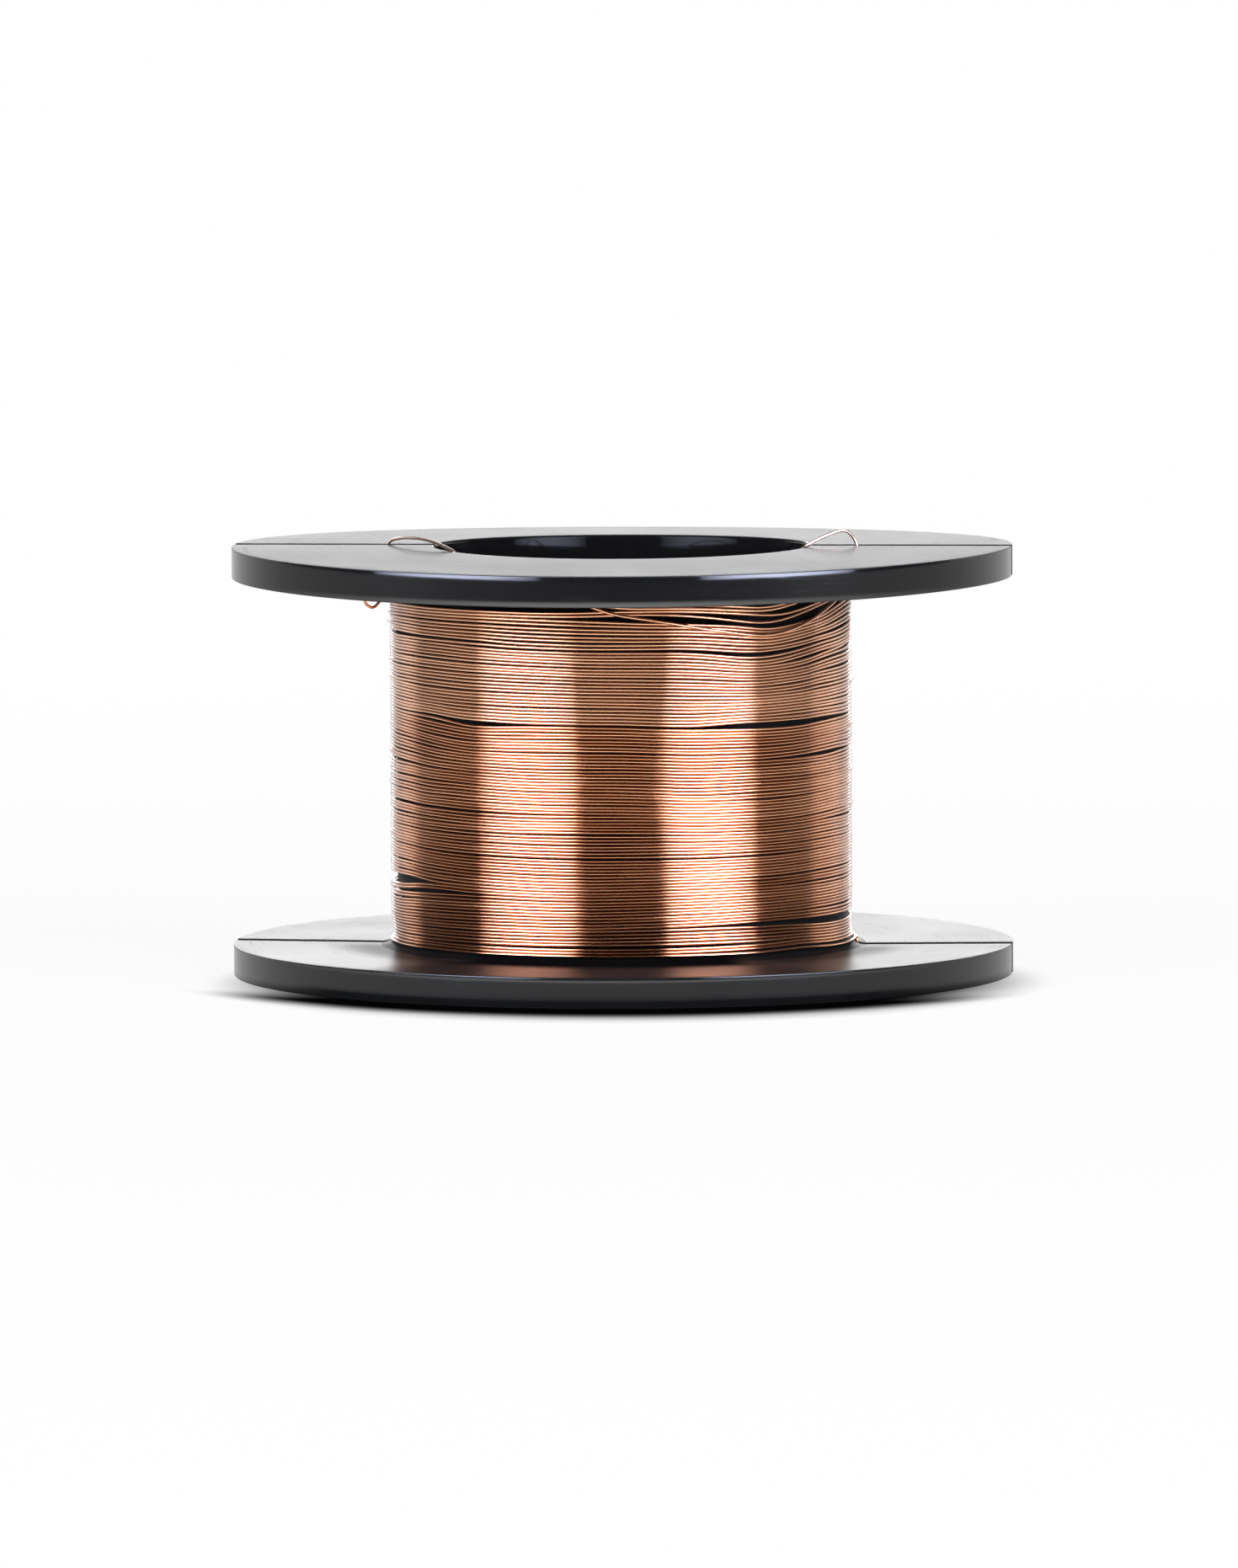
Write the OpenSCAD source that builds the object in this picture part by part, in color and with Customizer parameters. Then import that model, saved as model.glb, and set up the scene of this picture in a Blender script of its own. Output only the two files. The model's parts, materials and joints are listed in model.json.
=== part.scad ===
// Small two-part wire spool with one layer of fine enamelled copper wire.
// Millimetres. +Z is the spool axis, z = 0 is the lower flange's outer face.
// The two half shells meet in the plane y = 0, and the front half lies at y < 0.

/* [Flanges] */
// Outside diameter of both flanges
flange_d = 28; // [25:0.5:34]
// Thickness of a flange at its rim
flange_t = 1.1; // [0.9:0.05:1.6]
// How much thicker a flange is at the barrel, its moulding draft
flange_draft = 0.1; // [0.02:0.02:0.3]
// Rounding of the rim's edges
rim_r = 0.18; // [0.05:0.01:0.3]

/* [Barrel] */
// Height of the spool over both flanges
spool_h = 15.3; // [13:0.1:20]
// Outside diameter of the barrel under the wire
barrel_d = 16.2; // [15.8:0.1:18]
// Diameter of the spindle bore
bore_d = 13.46; // [12.6:0.02:13.8]
// Fillet where the barrel meets a flange
root_r = 0.6; // [0.45:0.05:0.9]
// Rounding of the bore's two mouths
mouth_r = 0.12; // [0.04:0.01:0.25]

/* [Seam] */
// Width of the slit between the two halves of a flange
slit_w = 0.16; // [0.15:0.01:0.3]
// Distance from the barrel to the inner end of the slit
slit_offset = 0.15; // [0.05:0.05:0.25]
// Rounding of the flange edges along the seam
seam_r = 0.3; // [0.1:0.05:0.4]
// Diameter of a locating pin
pin_d = 0.6; // [0.4:0.05:0.7]
// Length of a locating pin beyond the seam
pin_l = 1; // [0.6:0.1:1.6]
// Distance of the pins from each end of the spool
pin_inset = 3.5; // [2.5:0.1:5.5]
// Clearance round a pin in its socket
pin_clear = 0.03; // [0.02:0.01:0.06]
// Clearance past the tip of a pin
pin_tip_clear = 0.15; // [0.05:0.05:0.4]
// Chamfer on the tip of a pin
pin_tip = 0.12; // [0.04:0.02:0.16]

/* [Wire] */
// Diameter of the wire over its enamel
wire_d = 0.11; // [0.08:0.005:0.13]
// Thickness of the sleeve that stands for the close-laid turns
lay_t = 0.05; // [0.04:0.005:0.08]
// Clearance between the barrel, the sleeve and the loops
lay_clear = 0.01; // [0.005:0.005:0.02]
// Pitch of the open loops that the outer turns are drawn with, at least
turn_pitch = 0.55; // [0.55:0.01:1.2]
// Height of the lowest turn above the lower flange's root
low_turn = 0.35; // [0.25:0.05:0.6]
// Distance of the last turn below the upper flange's root
high_turn = 0.6; // [0.45:0.05:1]
// How far the upper turns rise on their way round the right-hand side
swoop = 0.3; // [0:0.05:0.3]
// Distance of the wire from the barrel where it enters a slit
lead_offset = 0.35; // [0.3:0.05:0.5]
// Bend radius of the wire where it turns into a slit
lead_bend = 0.3; // [0.2:0.05:0.35]
// How far the lower end of the wire is tucked into its slit
tuck = 0.5; // [0.2:0.1:0.8]
// Clearance between the wire's end and the bore's wall
tail_clear = 0.035; // [0.02:0.005:0.06]

/* [Hidden] */
$fn = 96;
// How far the cutting bodies reach past what they cut
over = 1;
flange_r = flange_d / 2;
barrel_r = barrel_d / 2;
bore_r = bore_d / 2;
root_t = flange_t + flange_draft;
wall_mid_r = (bore_r + barrel_r) / 2;
slit_r = barrel_r + slit_offset;
fillet_end_r = barrel_r + root_r;
draft_run = flange_r - rim_r - fillet_end_r;
draft_angle = atan(flange_draft / draft_run);
// How far the sleeve climbs each root fillet, in degrees
climb = 48;

// The outer turns: rings per loop, sides of the wire and its seat on the sleeve
rings = 24;
wire_sides = 6;
wire_r = wire_d / 2;
seat = 2 * lay_clear + lay_t + wire_r;
turn_r = (barrel_r + seat) / cos(180 / rings);
climb_r = root_r - seat;
turn_z0 = root_t + low_turn;
turn_z1 = spool_h - root_t - high_turn;
loops = floor((turn_z1 - turn_z0) / turn_pitch - 0.5);
lead_r = barrel_r + lead_offset;
// Where round the spool the upper turns rise most, and the share of the turns that rise
swoop_at = -35;
swoop_share = 0.35;
// Angle over which the wire leaves its seat to reach a slit
lead_sweep = 75;

// Height of the upper end of the turns, from the upper face, and the gap to the tail above it
join_h = 0.1 - flange_t;
join_gap = 0.02;
// Route of the tail: up the left slit, over the face into the bore, round the bore's front
// wall, back over the face and down the right slit. Each point is an angle round the spool,
// the share of the way from the bore's wall out to the slit, and a height from the upper face.
TAIL = [
    [180, 1, join_h + join_gap],
    [180, 1, -0.7],
    [180, 1, -0.3],
    [180, 1, 0.02],
    [181.5, 0.89, 0.24],
    [187, 0.64, 0.36],
    [195, 0.38, 0.39],
    [202.5, 0.19, 0.3],
    [208.5, 0.09, 0.15],
    [212, 0.02, 0.01],
    [214.5, 0, -0.28],
    [221, 0, -0.6],
    [231, 0, -0.9],
    [245, 0, -1.1],
    [262, 0, -1.2],
    [278, 0, -1.2],
    [295, 0, -1.1],
    [310, 0, -0.9],
    [323, 0, -0.7],
    [336.5, 0, -0.48],
    [345, 0, -0.25],
    [349.5, 0.03, 0.03],
    [352.3, 0.17, 0.22],
    [355.2, 0.44, 0.46],
    [357.4, 0.7, 0.61],
    [358.7, 0.84, 0.54],
    [359.8, 0.95, 0.28],
    [360, 1, 0],
    [360, 1, -0.35],
    [360, 1, -0.8]
];
// Rings on each stretch between two points, and sides of the tube
tail_steps = [1, 1, 1, 2, 3, 3, 3, 3, 2, 2, 3, 4, 4, 4, 4, 4, 4, 4, 4, 3, 2, 2, 3, 2, 2, 2, 1, 1, 1];
tail_sides = 8;

// ---- Shapes and functions that the pieces share ----

function unit(v) = v / norm(v);

// The part of v that is square to the direction d
function square_to(v, d) = unit(v - (v * d) * d);

// Eases from 0 to 1 while x goes from 0 to 1
function ease(x) = let (c = min(max(x, 0), 1)) c * c * (3 - 2 * c);

// Directions of a path at its points
function tangents(path) = [
    for (i = [0 : len(path) - 1])
        unit(path[min(i + 1, len(path) - 1)] - path[max(i - 1, 0)])
];

// Normals that point away from the spool axis
function radial_normals(path) = [
    let (t = tangents(path))
        for (i = [0 : len(path) - 1])
            square_to([path[i].x, path[i].y, 0], t[i])
];

// Normals that are carried along a path without twisting
function carried_normals(path, first) = [
    let (t = tangents(path), n = len(path))
        for (i = 0, v = square_to(first, t[0]); i < n; i = i + 1, v = i < n ? square_to(v, t[i]) : v)
            v
];

// The corner points of each ring of a tube
function tube_rings(path, normals, radius, sides) = [
    let (t = tangents(path))
        for (i = [0 : len(path) - 1])
            let (u = normals[i], w = cross(t[i], normals[i]))
                [for (k = [0 : sides - 1])
                    path[i] + radius * (cos(360 * k / sides) * u + sin(360 * k / sides) * w)]
];

// The least distance between the corners of two rings
function ring_gap(a, b) = min([for (p = a) for (q = b) norm(p - q)]);

// The least distance between neighbouring loops
function least_gap(r, per_loop) = min([
    for (i = [0 : len(r) - 2 - per_loop])
        for (j = [i + per_loop - 1 : i + per_loop + 1])
            ring_gap(r[i], r[j])
]);

// One closed tube through rings of corner points
module tube(r) {
    sides = len(r[0]);
    last = (len(r) - 1) * sides;
    points = [for (ring = r) for (p = ring) p];
    walls = [
        for (i = [0 : len(r) - 2])
            for (k = [0 : sides - 1])
                let (a = i * sides + k, b = i * sides + (k + 1) % sides)
                    for (f = [[a, a + sides, b], [b, a + sides, b + sides]]) f
    ];
    start_cap = [for (k = [1 : sides - 2]) [0, k, k + 1]];
    end_cap = [for (k = [1 : sides - 2]) [last, last + k + 1, last + k]];
    polyhedron(points = points, faces = concat(walls, start_cap, end_cap), convexity = 10);
}

// What a rounding of radius r takes off the outside corner at the origin,
// whose solid lies at x < 0 and y < 0
module corner_cut(r) {
    difference() {
        translate([-r, -r])
            square(r + over);
        translate([-r, -r])
            circle(r);
    }
}

// What fills the inside corner at the origin, whose space lies at x > 0 and y > 0
module fillet_fill(r) {
    difference() {
        square(r);
        translate([r, r])
            circle(r);
    }
}

// ---- Half shells ----

// Lower flange, in the plane through the axis: x is the radius and y the height
module flange_section() {
    difference() {
        polygon([
            [bore_r, 0],
            [flange_r, 0],
            [flange_r, flange_t],
            [flange_r - rim_r, flange_t],
            [fillet_end_r, root_t],
            [bore_r, root_t]
        ]);
        translate([flange_r, flange_t])
            corner_cut(rim_r);
        translate([flange_r, 0])
            mirror([0, 1])
                corner_cut(rim_r);
        translate([bore_r, 0])
            rotate(180)
                corner_cut(mouth_r);
    }
    translate([barrel_r, root_t])
        fillet_fill(root_r);
}

// Whole spool, in the plane through the axis
module spool_section() {
    flange_section();
    translate([0, spool_h])
        mirror([0, 1])
            flange_section();
    translate([bore_r, root_t - mouth_r])
        square([barrel_r - bore_r, spool_h - 2 * root_t + 2 * mouth_r]);
}

// Rounds one long seam edge: the corner lies on the line y = -slit_w / 2, z = 0
module seam_edge_cut(length) {
    translate([0, -slit_w / 2, 0])
        rotate([90, 0, 90])
            linear_extrude(length)
                corner_cut(seam_r);
}

// Opens the slit and rounds its edges, on the side where x > 0
module slit_cut() {
    translate([slit_r, -slit_w / 2, -over])
        cube([flange_r - slit_r + over, slit_w, spool_h + 2 * over]);
    translate([flange_r, -slit_w / 2, -over])
        linear_extrude(spool_h + 2 * over)
            corner_cut(seam_r);
    for (upper = [0, 1])
        translate([0, 0, upper * spool_h])
            mirror([0, 0, upper])
                translate([fillet_end_r, 0, root_t])
                    rotate([0, draft_angle, 0])
                        seam_edge_cut(flange_r);
}

// Rounds the seam edges of both outer faces, right across the spool
module face_seam_cut() {
    for (upper = [0, 1])
        translate([0, 0, upper * spool_h])
            mirror([0, 0, 1 - upper])
                translate([-flange_r - over, 0, 0]) {
                    seam_edge_cut(2 * (flange_r + over));
                    translate([0, -slit_w / 2, -seam_r])
                        cube([2 * (flange_r + over), slit_w, seam_r + over]);
                }
}

// Two locating pins on one wall of the seam
module pins() {
    for (z = [pin_inset, spool_h - pin_inset])
        translate([wall_mid_r, 0, z])
            rotate([-90, 0, 0])
                rotate_extrude()
                    polygon([
                        [0, -pin_l / 2],
                        [pin_d / 2, -pin_l / 2],
                        [pin_d / 2, pin_l - pin_tip],
                        [pin_d / 2 - pin_tip, pin_l],
                        [0, pin_l]
                    ]);
}

// Two sockets for the pins of the other half
module sockets() {
    for (z = [pin_inset, spool_h - pin_inset])
        translate([-wall_mid_r, over, z])
            rotate([90, 0, 0])
                cylinder(r = pin_d / 2 + pin_clear, h = over + pin_l + pin_tip_clear);
}

// One moulding, at y < 0. Both halves of the spool are the same moulding.
module half_shell() {
    color([0.08, 0.08, 0.09]) {
        difference() {
            rotate([0, 0, 180])
                rotate_extrude(angle = 180)
                    spool_section();
            slit_cut();
            mirror([1, 0, 0])
                slit_cut();
            face_seam_cut();
            sockets();
        }
        pins();
    }
}

module front_half() {
    half_shell();
}

module rear_half() {
    rotate([0, 0, 180])
        half_shell();
}

// ---- Wire ----

// Space between the flanges, in the plane through the axis, drawn in from the barrel, the
// flanges and their root fillets by a distance
module winding_space(inset) {
    left = barrel_r + inset;
    low = root_t + inset;
    high = spool_h - root_t - inset;
    r = root_r - inset;
    translate([left, low + r])
        square([2 * root_r, high - low - 2 * r]);
    translate([left + r, low])
        square([2 * root_r - r, high - low]);
    for (z = [low + r, high - r])
        translate([left + r, z])
            circle(r);
}

// Close-laid turns, as a plain sleeve that climbs both root fillets
module close_turns() {
    reach = 2 * root_r;
    low = root_t + root_r;
    high = spool_h - low;
    color([0.66, 0.38, 0.22])
        rotate_extrude()
            intersection() {
                difference() {
                    winding_space(lay_clear);
                    winding_space(lay_clear + lay_t);
                }
                polygon([
                    [fillet_end_r, low],
                    [fillet_end_r, high],
                    [fillet_end_r - reach, high + reach * tan(climb)],
                    [fillet_end_r - reach, low - reach * tan(climb)]
                ]);
            }
}

// Angle that the turns cover, from the right slit to the left one
full_sweep = 360 * loops + 180;

// Height of the wire after it has gone round by an angle
function turn_z(a) =
    let (
        share = a / full_sweep,
        rise = swoop * ease((share - 1 + swoop_share) / swoop_share),
        side = (1 + cos(a - swoop_at)) / 2
    )
        turn_z0 + (turn_z1 - turn_z0) * share + rise * side * side;

// Radius of the wire's seat at a height, with its climb on a root fillet
function seat_r(z) =
    let (
        below = max(root_t + root_r - z, 0),
        above = max(z - spool_h + root_t + root_r, 0),
        up = min(max(below, above), climb_r * sin(climb))
    )
        turn_r + climb_r - sqrt(climb_r * climb_r - up * up);

// One point of the turns
function turn_point(a) =
    let (
        z = turn_z(a),
        away = max(1 - a / lead_sweep, 1 - (full_sweep - a) / lead_sweep, 0),
        r = seat_r(z) + (lead_r - seat_r(z)) * ease(away)
    )
        [r * cos(a), r * sin(a), z];

// Bend between the slit at x > 0 and the first turn, from the slit
function lead_in() =
    let (z = turn_z(0))
        [
            [lead_r, 0, root_t - tuck],
            [lead_r, 0, z - lead_bend - wire_d],
            for (b = [0 : 30 : 90])
                [lead_r, lead_bend * (1 - cos(b)), z - lead_bend * (1 - sin(b))]
        ];

// Bend between the last turn and the slit at x < 0, to the slit
function lead_out() =
    let (z = turn_z(full_sweep))
        [
            for (b = [90 : -30 : 0])
                [-lead_r, lead_bend * (1 - cos(b)), z + lead_bend * (1 - sin(b))],
            [-lead_r, 0, z + lead_bend + wire_d],
            [-lead_r, 0, spool_h + join_h]
        ];

turn_path = concat(
    lead_in(),
    [for (i = [1 : rings * loops + rings / 2 - 1]) turn_point(360 * i / rings)],
    lead_out()
);

// Outer turns: one unbroken wire in open loops over the sleeve
module outer_turns() {
    r = tube_rings(turn_path, radial_normals(turn_path), wire_r, wire_sides);
    echo(str("least gap of the outer turns to themselves, mm: ", least_gap(r, rings)));
    color([0.8, 0.49, 0.3])
        tube(r);
}

// A smooth curve through the four points p, between the second and the third
function curve_point(p, t) = 0.5 * (
    2 * p[1]
    + t * (p[2] - p[0])
    + t * t * (2 * p[0] - 5 * p[1] + 4 * p[2] - p[3])
    + t * t * t * (3 * p[1] - p[0] - 3 * p[2] + p[3])
);

// One point of the tail's route
function tail_point(p) =
    let (in_r = bore_r - tail_clear - wire_r, r = in_r + (lead_r - in_r) * p[1])
        [r * cos(p[0]), r * sin(p[0]), spool_h + p[2]];

// The tail's route with its rings filled in
tail_path = [
    for (i = [0 : len(TAIL) - 2])
        let (p = [for (k = [i - 1 : i + 2]) tail_point(TAIL[min(max(k, 0), len(TAIL) - 1)])])
            for (s = [0 : tail_steps[i] - 1])
                curve_point(p, s / tail_steps[i]),
    tail_point(TAIL[len(TAIL) - 1])
];

// End of the wire, held in both slits and against the bore
module wire_tail() {
    color([0.8, 0.49, 0.3])
        tube(tube_rings(tail_path, carried_normals(tail_path, [1, 0, 0]), wire_r, tail_sides));
}

front_half();
rear_half();
close_turns();
outer_turns();
wire_tail();
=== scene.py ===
"""Small two-part wire spool with one layer of fine enamelled copper wire.

Lengths are in metres, in the spool's own frame: +Z is its axis, z = 0 is the lower flange's
outer face, and the two half shells meet in the plane y = 0.
"""

import json
import math

import bmesh
import bpy
import numpy as np
from mathutils import Matrix, Vector


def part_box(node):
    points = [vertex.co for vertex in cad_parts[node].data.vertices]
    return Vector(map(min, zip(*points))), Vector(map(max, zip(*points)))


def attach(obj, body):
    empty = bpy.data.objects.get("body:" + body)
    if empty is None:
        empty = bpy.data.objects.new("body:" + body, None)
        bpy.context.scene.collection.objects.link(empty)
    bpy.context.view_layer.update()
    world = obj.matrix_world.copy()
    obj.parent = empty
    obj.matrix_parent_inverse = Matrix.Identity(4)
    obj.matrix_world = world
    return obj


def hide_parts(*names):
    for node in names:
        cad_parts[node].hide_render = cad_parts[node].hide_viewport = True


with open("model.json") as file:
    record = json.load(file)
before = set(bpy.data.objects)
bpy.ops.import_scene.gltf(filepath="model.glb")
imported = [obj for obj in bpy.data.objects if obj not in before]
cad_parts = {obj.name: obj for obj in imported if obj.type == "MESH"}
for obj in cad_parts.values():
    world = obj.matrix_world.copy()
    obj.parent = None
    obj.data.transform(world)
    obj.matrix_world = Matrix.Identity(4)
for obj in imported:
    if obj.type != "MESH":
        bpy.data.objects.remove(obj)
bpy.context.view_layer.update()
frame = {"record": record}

MM = 0.001

# ---- Sizes, from the frame and from the making of the spool ----

SHELL_LOW, SHELL_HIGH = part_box("front_half")
SPOOL_H = SHELL_HIGH.z
FLANGE_R = -SHELL_LOW.y
BORE_R = frame["record"]["mounts"][0]["dims"]["r_mm"] * MM
BARREL_R = 8.1 * MM

# Thickness of the flanges at the rim, and of the upper and the lower one at the root
FLANGE_T = 1.1 * MM
ROOT_T = 1.2 * MM
LOW_ROOT_T = 1.05 * MM

# Roundings between flange and barrel, at the rims, at the bore's mouths and along the seam
ROOT_R = 0.6 * MM
FILLET_END_R = BARREL_R + ROOT_R
RIM_ROUND = 0.035 * MM
MOUTH_ROUND = 0.12 * MM
SEAM_ROUND = 0.3 * MM

# The slits through both flanges on the seam, and the radius at which the wire passes them
SLIT_HALF = 0.08 * MM
SLIT_R = BARREL_R + 0.15 * MM
LEAD_R = BARREL_R + 0.35 * MM

# The upper flange is a little high along the seam and low at its front and back
CROWN_HIGH = 0.075 * MM
CROWN_FALL = 0.235 * MM
CROWN_POWER = 1.6

# The wire with its enamel, and the pitch of the turns where they lie close
WIRE_D = 0.106 * MM
WIRE_R = WIRE_D / 2
WIRE_PITCH = 0.107 * MM

# ---- Camera, which stands a little to the right of the spool's front ----

CAMERA_AZIMUTH = math.radians(5.08)
CAMERA_DISTANCE = 499.5 * MM
CAMERA_HEIGHT = 47.33 * MM
CAMERA_ROLL = -0.004
CAMERA_LENS = 320.4
SENSOR = 36
CLIP_START = 10 * MM
CLIP_END = 20
AIM = Vector((-0.14, 0, 6.76)) * MM


def add_object(name, data):
    """A new object in the scene, at the origin."""
    made = bpy.data.objects.new(name, data)
    bpy.context.scene.collection.objects.link(made)
    return made


def side_of(angle, distance, height):
    """A point at an angle in radians from the spool's front, to the right as seen from there."""
    return Vector((distance * math.sin(angle), -distance * math.cos(angle), height))


def make_camera():
    """The camera, a long lens that looks slightly down on the spool."""
    data = bpy.data.cameras.new("camera")
    data.lens = CAMERA_LENS
    data.sensor_width = SENSOR
    data.clip_start = CLIP_START
    data.clip_end = CLIP_END
    camera = add_object("camera", data)
    camera.location = side_of(CAMERA_AZIMUTH, CAMERA_DISTANCE, CAMERA_HEIGHT)
    turn = (AIM - camera.location).to_track_quat("-Z", "Y").to_matrix()
    camera.rotation_euler = (turn @ Matrix.Rotation(CAMERA_ROLL, 3, "Z")).to_euler()
    bpy.context.scene.camera = camera


make_camera()

# ---- Shader maths ----


class Value:
    """A node's output that takes part in sums, each of which adds a Math node."""

    def __init__(self, nodes, socket):
        self.nodes = nodes
        self.socket = socket

    def __add__(self, other):
        return self.nodes.math("ADD", self, other)

    def __sub__(self, other):
        return self.nodes.math("SUBTRACT", self, other)

    def __rsub__(self, other):
        return self.nodes.math("SUBTRACT", other, self)

    def __mul__(self, other):
        return self.nodes.math("MULTIPLY", self, other)

    def __truediv__(self, other):
        return self.nodes.math("DIVIDE", self, other)

    def __pow__(self, other):
        return self.nodes.math("POWER", self, other)

    __radd__ = __add__
    __rmul__ = __mul__


class Nodes:
    """One node tree, and the one way to add a node to it."""

    def __init__(self, tree):
        self.tree = tree
        tree.nodes.clear()

    def node(self, kind, settings=None, inputs=None, output=0):
        """Adds a node, with its settings first and then its inputs, and gives one output."""
        made = self.tree.nodes.new(kind)
        for name, value in (settings or {}).items():
            setattr(made, name, value)
        for key, value in (inputs or {}).items():
            if isinstance(value, Value):
                self.tree.links.new(value.socket, made.inputs[key])
            else:
                made.inputs[key].default_value = value
        return Value(self, made.outputs[output]) if made.outputs else None

    def all_outputs(self, value):
        """Every output of the node that the value comes from."""
        return [Value(self, socket) for socket in value.socket.node.outputs]

    def math(self, operation, *terms):
        return self.node("ShaderNodeMath", {"operation": operation}, dict(enumerate(terms)))

    def xyz(self, vector):
        """The three parts of a vector."""
        return self.all_outputs(self.node("ShaderNodeSeparateXYZ", inputs={0: vector}))

    def vector(self, *parts):
        return self.node("ShaderNodeCombineXYZ", inputs=dict(enumerate(parts)))

    def noise(self, vector, scale, detail, roughness=0.5, dimensions="3D"):
        inputs = {"Vector": vector, "Scale": scale, "Detail": detail, "Roughness": roughness}
        return self.node("ShaderNodeTexNoise", {"noise_dimensions": dimensions}, inputs)

    def colour_mix(self, factor, first, second):
        inputs = {0: factor, 6: first, 7: second}
        return self.node("ShaderNodeMix", {"data_type": "RGBA"}, inputs, output=2)

    def shader_mix(self, factor, first, second):
        return self.node("ShaderNodeMixShader", inputs={0: factor, 1: first, 2: second})

    def spread(self, value, low, high):
        """Stretches the value so that low becomes 0 and high becomes 1, eased at both ends."""
        inputs = {0: value, 1: low, 2: high}
        return self.node("ShaderNodeMapRange", {"interpolation_type": "SMOOTHSTEP"}, inputs)


def blend(first, second, share):
    """A value or number that is the first one at share 0 and the second one at share 1."""
    return first + share * (second - first)


def rgb(red, green, blue):
    """A colour as a socket takes it."""
    return (red, green, blue, 1)


def new_material(name):
    """An empty material, and its nodes."""
    material = bpy.data.materials.new(name)
    material.use_nodes = True
    return material, Nodes(material.node_tree)


def around_the_spool(nodes):
    """Object coordinates as an angle round the axis, a radius and a height, in metres."""
    x, y, z = nodes.xyz(nodes.node("ShaderNodeTexCoord", output="Object"))
    return nodes.math("ARCTAN2", y, x), (x * x + y * y) ** 0.5, z


def levelness(nodes):
    """How level a face lies: 0 where it stands upright, 1 where it looks straight up or down."""
    normal = nodes.node("ShaderNodeNewGeometry", output="Normal")
    return nodes.math("ABSOLUTE", nodes.xyz(normal)[2])


# ---- Copper ----

# The tone changes by single turns, by groups of turns and in the enamel's film
TURN_STRETCH = 1.2
GROUP_STRETCH = 0.7
GROUP_TURNS = 3
FILM_SCALE = 900
TURN_SHARE = 0.45
GROUP_SHARE = 0.4
FILM_SHARE = 0.15
TONE_RANGE = (0.32, 0.68)

# Painted shade between two turns: where the wire's surface turns level, its colour is mixed
# towards a dark brown, for the light that is caught there and comes out brown
CREASE_SHADE_RANGE = (0.55, 0.95)
CREASE_SHADE_SHARE = 0.6
CREASE_SHADE_BROWN = rgb(0.2, 0.07, 0.03)

# Painted light: from this height up, the upper turns' colour is mixed towards a paler copper,
# which lifts their highlights, and they are a little hazy
UPPER_RANGE = (9.35 * MM, 9.6 * MM)
UPPER_PAINTED_SHARE = 0.3
UPPER_PAINTED_PALE = rgb(1, 0.66, 0.45)
UPPER_HAZE = 0.06

COPPER_ROUGH = 0.06
TONE_ROUGH = 0.1


def copper_material(name, deep, pale):
    """Drawn copper under clear enamel: each turn has its own slight tone and polish."""
    material, nodes = new_material(name)
    angle, _, height = around_the_spool(nodes)
    turn = height / WIRE_PITCH
    turn_place = nodes.vector(angle * TURN_STRETCH, turn)
    turn_tone = nodes.noise(turn_place, scale=1, detail=2, roughness=0.6, dimensions="2D")
    group_place = nodes.vector(angle * GROUP_STRETCH, turn / GROUP_TURNS)
    group_tone = nodes.noise(group_place, scale=1, detail=1, dimensions="2D")
    place = nodes.node("ShaderNodeTexCoord", output="Object")
    film = nodes.noise(place, scale=FILM_SCALE, detail=3)
    tone = turn_tone * TURN_SHARE + group_tone * GROUP_SHARE + film * FILM_SHARE
    tone = nodes.spread(tone, *TONE_RANGE)
    upper = nodes.spread(height, *UPPER_RANGE)
    # Painted shade between the turns, where the wire's surface turns level
    crease_shade = nodes.spread(levelness(nodes), *CREASE_SHADE_RANGE) * CREASE_SHADE_SHARE
    # Painted light: from the upper range up, the colour is mixed towards a paler copper
    colour = nodes.colour_mix(upper * UPPER_PAINTED_SHARE, nodes.colour_mix(tone, deep, pale), UPPER_PAINTED_PALE)
    surface = nodes.node("ShaderNodeBsdfPrincipled", inputs={
        "Base Color": nodes.colour_mix(crease_shade, colour, CREASE_SHADE_BROWN),
        "Metallic": 1 - upper * UPPER_HAZE,
        "Roughness": COPPER_ROUGH + tone * TONE_ROUGH,
        "Coat Weight": 0.8,
        "Coat Roughness": 0.06,
        "Coat IOR": 1.5})
    nodes.node("ShaderNodeOutputMaterial", inputs={"Surface": surface})
    return material


COPPER = copper_material("enamelled_copper", rgb(0.74, 0.3, 0.13), rgb(0.97, 0.47, 0.24))
PALE_COPPER = copper_material("pale_copper_end", rgb(0.93, 0.56, 0.42), rgb(0.97, 0.68, 0.54))

# ---- Black moulding ----

# Where the bore ends and the rim begins, and how far a flange's outer and inner face lie from
# the spool's middle plane
BORE_EDGE = (BORE_R + 0.02 * MM, BORE_R + 0.1 * MM)
RIM_EDGE = (FLANGE_R - 0.12 * MM, FLANGE_R - 0.04 * MM)
OUTER_FACE = (SPOOL_H / 2 - 0.5 * MM, SPOOL_H / 2 - 0.3 * MM)
INNER_FACE = (SPOOL_H / 2 - FLANGE_T + 0.1 * MM, SPOOL_H / 2 - FLANGE_T + 0.3 * MM)
UPRIGHT_RANGE = (0.05, 0.4)

# Roughness of the bore, of the flanges' inner and outer faces and of the polished rims, and
# what the skin's clouds and rubbed marks add to it
BORE_ROUGH = 0.02
INNER_ROUGH = 0.31
OUTER_ROUGH = 0.365
RIM_ROUGH = 0.045
CLOUD_ROUGH = 0.06
MARK_ROUGH = 0.05

SKIN_SCALE = 2600
SKIN_DEPTH = 0.01 * MM
SKIN_STRENGTH = 0.03
CLOUD_SCALE = 260
MARK_LENGTH = 6
MARK_FINENESS = 9000
MARK_RANGE = (0.56, 0.74)
MARK_DEPTH = 0.3

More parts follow.
